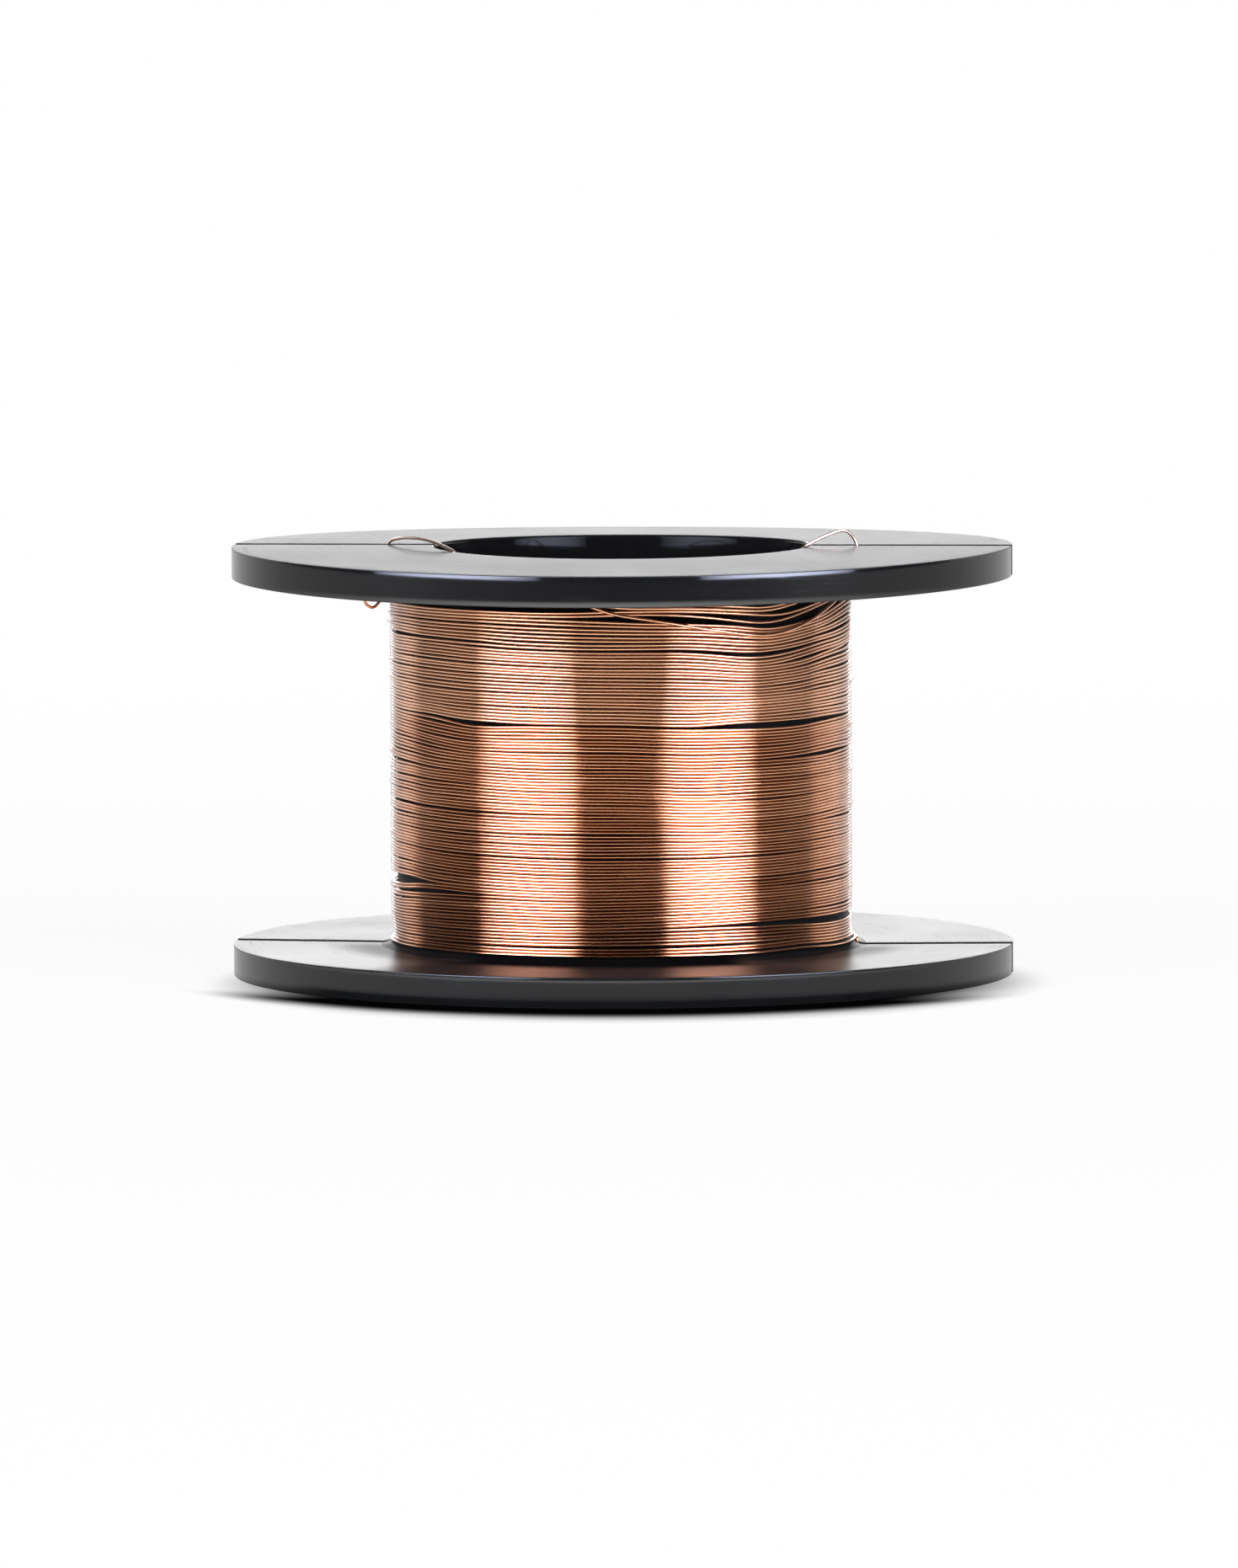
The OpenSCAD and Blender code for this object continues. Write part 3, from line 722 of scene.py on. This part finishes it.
# The last turns, which climb the upper root and sag and cross at the front. Each point is an
# angle in degrees, a height in millimetres and a lift off the turns below in wire thicknesses.
LAST_TURNS = [
    [(-180, 13.15, 0), (-87, 13.26, 0), (-70, 13.32, 0), (-40, 13.33, 0), (-22, 13.32, 0),
     (-12, 13.33, 0), (-5, 13.37, 0), (5, 13.42, 0), (15, 13.36, 0), (25, 13.21, 0), (33, 13.03, 0),
     (38, 12.97, 0), (43, 13.02, 0), (51, 13.25, 0), (60, 13.5, 0), (72, 13.7, 0), (95, 13.7, 0),
     (125, 13.6, 0), (180, 13.25, 0)],
    [(-180, 13.25, 0), (-87, 13.37, 0), (-70, 13.43, 0), (-40, 13.44, 0), (-22, 13.43, 0),
     (-12, 13.45, 0), (-3, 13.5, 0), (10, 13.52, 0), (21, 13.46, 0), (28, 13.38, 0), (35, 13.3, 0),
     (41, 13.22, 0), (45, 13.25, 0), (50, 13.36, 0), (55, 13.49, 0), (62, 13.66, 0), (72, 13.8, 0),
     (95, 13.8, 0), (125, 13.7, 0), (180, 13.36, 0)],
    [(-180, 13.36, 0), (-120, 13.7, 0), (-90, 13.9, 0), (-14, 13.9, 0), (-7, 13.72, 0), (0, 13.62, 0),
     (10, 13.62, 0), (21, 13.57, 0), (28, 13.5, 0), (35, 13.42, 0), (39, 13.4, 0), (43, 13.47, 0),
     (48, 13.62, 0), (55, 13.77, 0), (65, 13.87, 0), (95, 13.89, 0), (125, 13.8, 0), (180, 13.47, 0)],
    [(-180, 13.47, 0), (-120, 13.8, 0), (-90, 13.97, 0), (-16, 13.97, 0), (-9, 13.82, 0),
     (0, 13.73, 0), (20, 13.7, 0), (28, 13.64, 0), (34, 13.55, 0), (38, 13.51, 0), (44, 13.6, 0),
     (50, 13.76, 0), (58, 13.88, 0), (70, 13.96, 0), (95, 13.97, 0), (125, 13.89, 0), (180, 13.58, 0)],
    [(-180, 13.58, 0), (-120, 13.88, 0), (-90, 14.02, 0), (-15, 14.02, 0), (-9, 13.82, 0.6),
     (-6, 13.58, 1), (-3, 13.4, 1), (4, 13.28, 1), (11, 13.12, 1), (19, 12.9, 1), (29, 12.67, 1),
     (36, 12.53, 1), (40, 12.53, 1), (47, 12.69, 1), (53, 12.92, 1), (60, 13.24, 1), (67, 13.57, 1.1),
     (73, 13.9, 0.9), (82, 14.03, 0.2), (95, 14.03, 0), (125, 13.96, 0), (180, 13.7, 0)],
    [(-180, 13.7, 0), (-110, 13.75, 0)],
]

# The two ends of the winding, in millimetres: up out of the lower slit on the right, and a loose
# hook into the upper slit on the left
FIRST_END = [(8.31, 0, 0.62), (8.31, 0, 0.92), (8.34, 0.04, 1.04), (8.4, 0.2, 1.11)]
LAST_END = [(-8.45, 1.3, 13.75), (-8.68, 0.75, 13.53), (-8.8, 0.5, 13.28), (-9.03, 0.3, 13.07),
            (-9.28, 0.12, 13.26), (-9.26, 0.03, 13.7), (-8.92, 0, 14), (-8.55, 0, 14.15),
            (-8.45, 0, 14.34)]

# Places where a turn stands a little proud: angle in degrees, height and amount in millimetres
PROUD = [(-90, 12.72, 0.1), (-91, 13.02, 0.07), (-88, 11.4, 0.05), (-90, 10.7, 0.04),
         (-89, 8.1, 0.05), (-91, 6.9, 0.04), (-88, 5.2, 0.05), (88, 10.55, 0.08), (89, 9.05, 0.07),
         (90, 7.4, 0.05), (88, 6.1, 0.06), (90, 3.2, 0.04)]

# Degrees over which such a place fades, and the most steps that it reaches to either side
PROUD_REACH = 5
PROUD_STEPS = 15


def along(points, angles, column, outside=None):
    """A column of a row of points, at the given angles, rounded off over a few degrees."""
    rows = np.array(points, float)
    values = np.interp(angles, rows[:, 0], rows[:, column], left=outside, right=outside)
    soft = np.hanning(2 * round(STEPS * ROUND_OFF / 360) + 3)
    reach = len(soft) // 2
    padded = np.concatenate([values[-reach - 1:-1], values, values[1:reach + 1]])
    return np.convolve(padded, soft / soft.sum(), "valid")


def pack_upwards(wanted, least):
    """Heights as near as can be to those wanted, none less than its step above the last."""
    floor = np.concatenate([[0], np.cumsum(least)])
    blocks = []
    for value in wanted - floor:
        blocks.append([value, 1])
        while len(blocks) > 1 and blocks[-2][0] > blocks[-1][0]:
            mean, count = blocks.pop()
            blocks[-1] = [(blocks[-1][0] * blocks[-1][1] + mean * count) / (blocks[-1][1] + count),
                          blocks[-1][1] + count]
    return floor + np.concatenate([np.full(count, mean) for mean, count in blocks])


def slow_noise(random, length, every):
    """Smooth random values between about -1 and 1, with a new one every so many steps."""
    knots = random.uniform(-1, 1, length // every + 4)
    place = np.arange(length) / every + 1
    whole = place.astype(int)
    share = eased(place - whole)
    return knots[whole] * (1 - share) + knots[whole + 1] * share


def settle(low, high, gaps):
    """Heights of the turns at one angle, spaced evenly but for the gaps, and the steps between.

    A gap is the number of turns under it, its height, its width and how firmly it is held.
    """
    joins = np.diff(np.eye(TURNS), axis=0)
    steps = np.full(TURNS - 1, WIRE_PITCH)
    stiff = joins.T @ joins
    load = np.zeros(TURNS)
    for row, height in ((0, low), (-1, high)):
        stiff[row, row] += EDGE_HOLD
        load[row] += EDGE_HOLD * height
    for count, height, width, hold in gaps:
        steps[count - 1] += width
        pair = np.zeros(TURNS)
        pair[count - 1:count + 1] = 0.5
        stiff += hold * np.outer(pair, pair)
        load += hold * height * pair
    return np.linalg.solve(stiff, load + joins.T @ steps), steps


def gap_lines(angles):
    """Height, width and hold of each gap at the given angles, from the widest gap down."""
    lines = []
    for row in GAPS:
        first, last = row[0][0], row[-1][0]
        ends = [(first - HOLD_BEFORE, 0), (first + HOLD_AFTER, 1),
                (last - HOLD_AFTER, 1), (last + HOLD_BEFORE, 0)]
        width = along(row, angles, 2, outside=0) * MM
        hold = along(ends, angles, 1) * (GAP_HOLD + width / WIRE_D)
        lines.append((along(row, angles, 1) * MM, width, hold))
    return sorted(lines, key=lambda line: -line[1].max())


def gaps_at(placed, i):
    """The placed gaps as they are at one of the angles."""
    return [(count, height[i], width[i], hold[i]) for count, height, width, hold in placed]


def placed_gaps(angles, low, high):
    """Each gap with the number of turns under it, which lie nearest to it where it is widest."""
    placed = []
    for height, width, hold in gap_lines(angles):
        home = int(np.argmax(width))
        turns, _ = settle(low[home], high[home], gaps_at(placed, home))
        joints = (turns[:-1] + turns[1:]) / 2
        count = int(np.argmin(np.abs(joints - height[home]))) + 1
        placed.append((count, height, width, hold))
    return placed


def turn_heights():
    """Height of the wire's middle for each angle and turn, from the lowest turn up."""
    random = np.random.default_rng(7)
    angles = np.linspace(-180, 180, STEPS + 1)
    low = LOW_EDGE + WIRE_R + WIRE_PITCH * (angles + 180) / 360
    high = along(TOP_EDGE, angles, 1) * MM - WIRE_R
    placed = placed_gaps(angles, low, high)
    wander = slow_noise(random, TURNS * STEPS + 1, STEPS // WANDER_SPANS) * WANDER
    rows = []
    for i in range(len(angles)):
        turns, steps = settle(low[i], high[i], gaps_at(placed, i))
        least = WIRE_D + GAP_LEAST * (steps - WIRE_PITCH)
        rows.append(pack_upwards(turns + wander[np.arange(TURNS) * STEPS + i], least))
    stack = np.clip(np.array(rows), low[:, None], None)

    # The end of each turn is the start of the next one
    share = eased(np.clip((angles - 180 + HANDOVER) / HANDOVER, 0, 1))
    for turn in range(TURNS - 1):
        stack[:, turn] += (stack[0, turn + 1] - stack[-1, turn]) * share
    return angles, stack


def seat_r(height):
    """Radius at which the wire's middle lies on the barrel or on a root fillet."""
    curve = ROOT_R - WIRE_R - LIFT_OFF
    below = np.clip(LOW_ROOT_T + ROOT_R - height, 0, curve)
    above = np.clip(height - SPOOL_H + ROOT_T + ROOT_R, 0, curve)
    return FILLET_END_R - np.sqrt(curve ** 2 - np.maximum(below, above) ** 2)


def round_points(angles, heights, radii):
    """Points from angles in degrees, heights and radii."""
    turn = np.radians(np.asarray(angles) + FRONT)
    return np.stack([radii * np.cos(turn), radii * np.sin(turn), heights], 1)


def wire_tree():
    """Geometry nodes that sweep a round wire along a curve."""
    tree = bpy.data.node_groups.new("wire_sweep", "GeometryNodeTree")
    tree.is_modifier = True
    for name, kind in (("Geometry", "NodeSocketGeometry"), ("Radius", "NodeSocketFloat"),
                       ("Sides", "NodeSocketInt"), ("Material", "NodeSocketMaterial")):
        tree.interface.new_socket(name, in_out="INPUT", socket_type=kind)
    tree.interface.new_socket("Geometry", in_out="OUTPUT", socket_type="NodeSocketGeometry")
    nodes = Nodes(tree)
    line, radius, sides, finish = nodes.all_outputs(nodes.node("NodeGroupInput"))[:4]
    ring = nodes.node("GeometryNodeCurvePrimitiveCircle", inputs={
        "Resolution": sides, "Radius": radius})
    tube = nodes.node("GeometryNodeCurveToMesh", inputs={
        "Curve": line, "Profile Curve": ring, "Fill Caps": True})
    smooth = nodes.node("GeometryNodeSetShadeSmooth", inputs={"Geometry": tube})
    whole = nodes.node("GeometryNodeRealizeInstances", inputs={"Geometry": smooth})
    finished = nodes.node("GeometryNodeSetMaterial", inputs={"Geometry": whole, "Material": finish})
    nodes.node("NodeGroupOutput", inputs={"Geometry": finished})
    return tree


WIRE_TREE = wire_tree()


def wire_piece(name, points, material, replaces=()):
    """One piece of wire, swept along a line of points."""
    curve = bpy.data.curves.new(name, "CURVE")
    curve.dimensions = "3D"
    spline = curve.splines.new("POLY")
    spline.points.add(len(points) - 1)
    spline.points.foreach_set("co", np.c_[points, np.ones(len(points))].astype(np.float32).ravel())
    line = add_object(name + "_line", curve)
    sweep = line.modifiers.new("sweep", "NODES")
    sweep.node_group = WIRE_TREE
    given = {"Radius": WIRE_R, "Sides": WIRE_SIDES, "Material": material}
    for item in WIRE_TREE.interface.items_tree:
        if item.name in given:
            sweep[item.identifier] = given[item.name]
    seen = line.evaluated_get(bpy.context.evaluated_depsgraph_get())
    mesh = bpy.data.meshes.new_from_object(seen)
    mesh.name = name
    bpy.data.objects.remove(line)
    piece = add_object(name, mesh)
    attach(piece, "root")
    if replaces:
        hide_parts(*replaces)


def smooth_line(points, step):
    """A smooth curve through the given points, in even steps of about the given length."""
    knots = [Vector(p) for p in points]
    knots = [2 * knots[0] - knots[1]] + knots + [2 * knots[-1] - knots[-2]]
    line = []
    for a, b, c, d in zip(knots, knots[1:], knots[2:], knots[3:]):
        count = max(2, round((c - b).length / step))
        for share in (i / count for i in range(count)):
            line.append(0.5 * (2 * b + share * (c - a) + share ** 2 * (2 * a - 5 * b + 4 * c - d)
                               + share ** 3 * (3 * b - a - 3 * c + d)))
    return np.array([tuple(p) for p in line + [knots[-2]]])


def stand_proud(angle, height, radius):
    """Lifts the nearest turn off the winding at each of the loose places."""
    for place, level, amount in PROUD:
        miss = np.where(np.abs(angle - place) < 360 / STEPS, np.abs(height - level * MM), 1)
        middle = int(np.argmin(miss))
        span = np.arange(max(middle - PROUD_STEPS, 0), min(middle + PROUD_STEPS, len(radius) - 1))
        off = (span - middle) * 360 / STEPS / PROUD_REACH
        radius[span] += amount * MM * np.exp(-off ** 2)


def winding_points():
    """The whole winding's route, from the first close turn to the last crossing one."""
    random = np.random.default_rng(11)
    angles, stack = turn_heights()
    turns = [(angles, stack[:, turn], np.zeros(STEPS + 1)) for turn in range(TURNS)]
    for row in LAST_TURNS:
        over = angles[angles <= row[-1][0] + 1]
        turns.append((over, along(row, over, 1) * MM, along(row, over, 2)))
    angle, height, lift = (np.concatenate([turn[part][:-1] for turn in turns]) for part in range(3))
    soft = np.hanning(SMOOTHING)
    edge = SMOOTHING // 2
    height[edge:-edge] = np.convolve(height, soft / soft.sum(), "valid")
    loose = LIFT_MEAN + slow_noise(random, len(height), STEPS // LIFT_SPANS)
    ride = 1 + slow_noise(random, len(height), STEPS // RIDE_SPANS)
    slack = np.exp(-((angle - SLACK_ANGLE) / SLACK_REACH) ** 2)
    slack *= np.clip(height / MM - SLACK_FROM, 0, 1)
    radius = seat_r(height) + LIFT_OFF * loose
    radius += lift * WIRE_D + SLACK_SIDE * slack
    radius += RIDE_UP * ride
    stand_proud(angle, height, radius)
    return round_points(angle, height, radius)


def make_turns():
    """The winding in four stretches, one unbroken wire from slit to slit."""
    begin = round((RIGHT_SLIT + 180) / 360 * STEPS) + 1
    points = winding_points()[begin:]
    first_end = smooth_line(np.r_[np.array(FIRST_END) * MM, points[:2]], TAIL_STEP)[:-2]
    last_end = smooth_line(np.r_[points[-2:], np.array(LAST_END) * MM], TAIL_STEP)[2:]
    points = np.r_[first_end, points, last_end]
    stretches = ("lowest_turns", "lower_turns", "upper_turns", "highest_turns")
    bounds = np.linspace(0, len(points) - 1, len(stretches) + 1).astype(int)
    stands_for = {"lowest_turns": ("close_turns",), "highest_turns": ("outer_turns",)}
    for name, start, stop in zip(stretches, bounds, bounds[1:]):
        wire_piece(name, points[start:stop + 1], COPPER, stands_for.get(name, ()))


make_turns()

# The wire's end: angle in degrees round the axis, share of the way from the bore's wall out to
# the slit, and height from the upper face in millimetres
TAIL = [
    (180, 1, -0.98), (180, 1, -0.7), (180, 1, -0.3), (180, 1, 0.02), (181.5, 0.89, 0.24),
    (187, 0.64, 0.36), (195, 0.38, 0.39), (202.5, 0.19, 0.3), (208.5, 0.09, 0.15), (212, 0.02, 0.01),
    (214.5, 0, -0.28), (221, 0, -0.6), (231, 0, -0.9), (245, 0, -1.1), (262, 0, -1.2),
    (278, 0, -1.2), (295, 0, -1.1), (310, 0, -0.9), (323, 0, -0.7), (336.5, 0, -0.48),
    (345, 0, -0.25), (349.5, 0.03, 0.03), (352.3, 0.17, 0.22), (355.2, 0.44, 0.46),
    (357.4, 0.7, 0.61), (358.7, 0.84, 0.54), (359.8, 0.95, 0.28), (360, 1, 0), (360, 1, -0.35),
    (360, 1, -0.8),
]
TAIL_CLEAR = 0.035 * MM


def make_tail():
    """The wire's end, up one slit, along the bore's front wall and down the other slit."""
    inner = BORE_R - TAIL_CLEAR - WIRE_R
    points = []
    for angle, share, height in TAIL:
        radius = inner + (LEAD_R - inner) * share
        turn = math.radians(angle)
        points.append((radius * math.cos(turn), radius * math.sin(turn), SPOOL_H + height * MM))
    wire_piece("wire_end", smooth_line(points, TAIL_STEP), PALE_COPPER, ("wire_tail",))


make_tail()

# ---- Floor ----

WHITE = rgb(1, 1, 1)
FLOOR_HALF = 3

# The painted contact shadow: its middle in front of the axis and beside it, its radius, and the
# width of its edge
CONTACT_SHIFT = 4 * MM
CONTACT_SIDE = 0.5 * MM
CONTACT_R = 11.15 * MM
CONTACT_W = 4.3 * MM

# The painted dark line of shadow right under the front rim: its reach outwards, and how far
# forward it starts
FOOT_REACH = (FLANGE_R + 1.3 * MM, FLANGE_R + 3.3 * MM)
FOOT_START = (7 * MM, 11 * MM)

SHEET_WHITE = rgb(0.8, 0.8, 0.8)
SHEET_PAINTED_SHADOW = rgb(0.02, 0.02, 0.02)
SHEET_SHARE = 0.92
SHEET_FADE = (0.03, 0.15)

# How bright the sheet looks in the spool's gloss: close by, then to the sides, behind and in
# front, and far off, where its sides are brighter and its back is brighter still
SHEET_NEAR = 0.7
SHEET_SIDE = 1.1
SHEET_BACK = 0.7
SHEET_FRONT = 3.5
SHEET_FAR = 0.1
NEAR_REACH = (0.03, 0.06)
FAR_REACH = (0.1, 0.16)
FAR_SIDES = (-1, -0.4)
FAR_SIDES_GAIN = 0.4
FAR_BACK = (0.3, 1)
FAR_BACK_GAIN = 0.25


def floor_material():
    """White sheet that reads as white to the camera, with painted shadow close round the spool's foot.
    """
    material, nodes = new_material("white_sheet")
    x, y, _ = nodes.xyz(nodes.node("ShaderNodeTexCoord", output="Object"))
    radius = (x * x + y * y) ** 0.5
    # Painted contact shadow, darkest close in front of the foot
    forward = y + CONTACT_SHIFT
    across = x - CONTACT_SIDE
    from_edge = (across * across + forward * forward) ** 0.5 - CONTACT_R
    # Painted dark line of shadow right under the front rim
    foot = 1 - nodes.spread(radius, *FOOT_REACH)
    foot = foot * nodes.spread(0 - y, *FOOT_START)
    shade = nodes.spread(from_edge, 0, CONTACT_W) * (1 - foot)

    back = y / radius
    bend = (SHEET_BACK + SHEET_FRONT) / 2 - SHEET_SIDE
    lit = SHEET_SIDE + back * ((SHEET_BACK - SHEET_FRONT) / 2) + back * back * bend
    lit = blend(SHEET_NEAR, lit, nodes.spread(radius, *NEAR_REACH))
    far = SHEET_FAR + nodes.spread(back, *FAR_SIDES) * FAR_SIDES_GAIN
    far = far + nodes.spread(back, *FAR_BACK) * FAR_BACK_GAIN
    lit = blend(lit, far, nodes.spread(radius, *FAR_REACH))

    seen = nodes.node("ShaderNodeLightPath", output="Is Camera Ray")
    mirrored = nodes.node("ShaderNodeLightPath", output="Is Glossy Ray")
    # The painted shadow darkens both the sheet's colour and its glow
    sheet = nodes.node("ShaderNodeBsdfDiffuse", inputs={
        "Color": nodes.colour_mix(shade, SHEET_PAINTED_SHADOW, SHEET_WHITE)})
    glow = nodes.node("ShaderNodeEmission", inputs={
        "Color": WHITE, "Strength": shade * (seen + mirrored * lit)})
    share = mirrored + seen * blend(SHEET_SHARE, 1, nodes.spread(radius, *SHEET_FADE))
    nodes.node("ShaderNodeOutputMaterial", inputs={
        "Surface": nodes.shader_mix(share, sheet, glow)})
    material.cycles.emission_sampling = "NONE"
    return material


def make_floor():
    """A large flat sheet under the spool."""
    mesh = bpy.data.meshes.new("floor")
    h = FLOOR_HALF
    mesh.from_pydata([(-h, -h, 0), (h, -h, 0), (h, h, 0), (-h, h, 0)], [], [(0, 1, 2, 3)])
    mesh.materials.append(floor_material())
    floor = add_object("floor", mesh)


make_floor()

# ---- Backdrop and lights ----

# How bright the room in front is, and the backdrop behind: at its foot, at its sides, between
# these and its core, in the core, and higher up
ROOM = 0.03
BACKDROP_FOOT = 0.5
BACKDROP_SIDE = 2.5
BACKDROP_FLANK = 1
BACKDROP_LOW = 5.8
BACKDROP_HIGH = 0.22

# Where these begin: cosines of the angle from straight behind, and slopes of the line of sight.
# The backdrop's ends are turned a little against the camera.
BACKDROP_TURN = math.radians(6)
BACKDROP_ENDS = (0.38, 0.56)
FLANK_RANGE = (0.7, 0.86)
CORE_RANGE = (0.956, 0.985)
LOW_SLOPES = (0.076, 0.088)
HIGH_SLOPES = (0.2, 0.26)

# The soft boxes: distance, brightness in the gloss and on matt surfaces, the share of it that
# is left at their sides, their cool white, and the elevations in degrees that they span
BOX_DISTANCE = 0.6
BOX_SHINE = 14.3
BOX_LIGHT = 8
BOX_EDGE = 0.12
BOX_TINT = rgb(0.86, 0.92, 1.2)
BOX_FOOT = 1
BOX_TOP = 50

# The overhead light
TOP_SIZE = 0.9
TOP_PLACE = (0, 0.1, 0.9)
TOP_LEVEL = 0.5


def make_world():
    """White backdrop behind the spool, and a dimmer room in front of it."""
    world = bpy.data.worlds.new("studio")
    bpy.context.scene.world = world
    world.use_nodes = True
    nodes = Nodes(world.node_tree)
    x, y, z = nodes.xyz(nodes.node("ShaderNodeTexCoord", output="Generated"))
    flat = (x * x + y * y) ** 0.5
    turn = BACKDROP_TURN - CAMERA_AZIMUTH
    behind = nodes.spread((x * math.sin(turn) + y * math.cos(turn)) / flat, *BACKDROP_ENDS)
    straight_on = (y * math.cos(CAMERA_AZIMUTH) - x * math.sin(CAMERA_AZIMUTH)) / flat
    side = blend(BACKDROP_SIDE, BACKDROP_FLANK, nodes.spread(straight_on, *FLANK_RANGE))
    bright = blend(side, BACKDROP_LOW, nodes.spread(straight_on, *CORE_RANGE))
    backdrop = blend(BACKDROP_FOOT, bright, nodes.spread(z / flat, *LOW_SLOPES))
    backdrop = blend(backdrop, BACKDROP_HIGH, nodes.spread(z / flat, *HIGH_SLOPES))
    room = nodes.node("ShaderNodeBackground", inputs={
        "Color": WHITE, "Strength": blend(ROOM, backdrop, behind)})
    white = nodes.node("ShaderNodeBackground", inputs={"Color": WHITE, "Strength": 1})
    seen = nodes.node("ShaderNodeLightPath", output="Is Camera Ray")
    nodes.node("ShaderNodeOutputWorld", inputs={"Surface": nodes.shader_mix(seen, room, white)})


def lamp(name, width, depth, level):
    """An even rectangular lamp of the given brightness."""
    data = bpy.data.lights.new(name, "AREA")
    data.shape = "RECTANGLE"
    data.size = width
    data.size_y = depth
    data.energy = level * math.pi * width * depth
    return add_object(name, data)


def brighter_middle(data):
    """Makes a lamp cool white, and brightest in the middle of its width."""
    data.use_nodes = True
    nodes = Nodes(data.node_tree)
    across = nodes.xyz(nodes.node("ShaderNodeNewGeometry", output="Parametric"))[0]
    middle = across * (1 - across) * 4
    shine = nodes.node("ShaderNodeEmission", inputs={
        "Color": BOX_TINT, "Strength": blend(BOX_EDGE, 1, middle)})
    nodes.node("ShaderNodeOutputLight", inputs={"Surface": shine})


def soft_box(name, low_azimuth, high_azimuth, strength):
    """A soft box that spans those degrees from the spool: one lamp for gloss, one for the rest."""
    middle = math.radians((low_azimuth + high_azimuth) / 2) + CAMERA_AZIMUTH
    half = math.radians((high_azimuth - low_azimuth) / 2)
    width = 2 * BOX_DISTANCE * math.tan(half)
    low = BOX_DISTANCE * math.tan(math.radians(BOX_FOOT))
    high = BOX_DISTANCE * math.tan(math.radians(BOX_TOP))
    for use, level in (("shine", BOX_SHINE * strength), ("light", BOX_LIGHT)):
        light = lamp(name + "_" + use, width, high - low, level)
        light.location = side_of(middle, BOX_DISTANCE, SPOOL_H / 2 + (low + high) / 2)
        facing = Vector((0, 0, light.location.z)) - light.location
        light.rotation_euler = facing.to_track_quat("-Z", "Y").to_euler()
        light.visible_glossy = use == "shine"
        light.visible_diffuse = use == "light"
        if use == "shine":
            brighter_middle(light.data)


def top_light():
    """A wide soft light over the spool, for its matt surfaces."""
    light = lamp("overhead", TOP_SIZE, TOP_SIZE, TOP_LEVEL)
    light.location = TOP_PLACE
    light.visible_glossy = False


make_world()
soft_box("left_box", -76.8, -24, 1.04)
soft_box("right_box", 22.5, 71.2, 1.3)
top_light()

bpy.context.scene.view_settings.view_transform = "Standard"
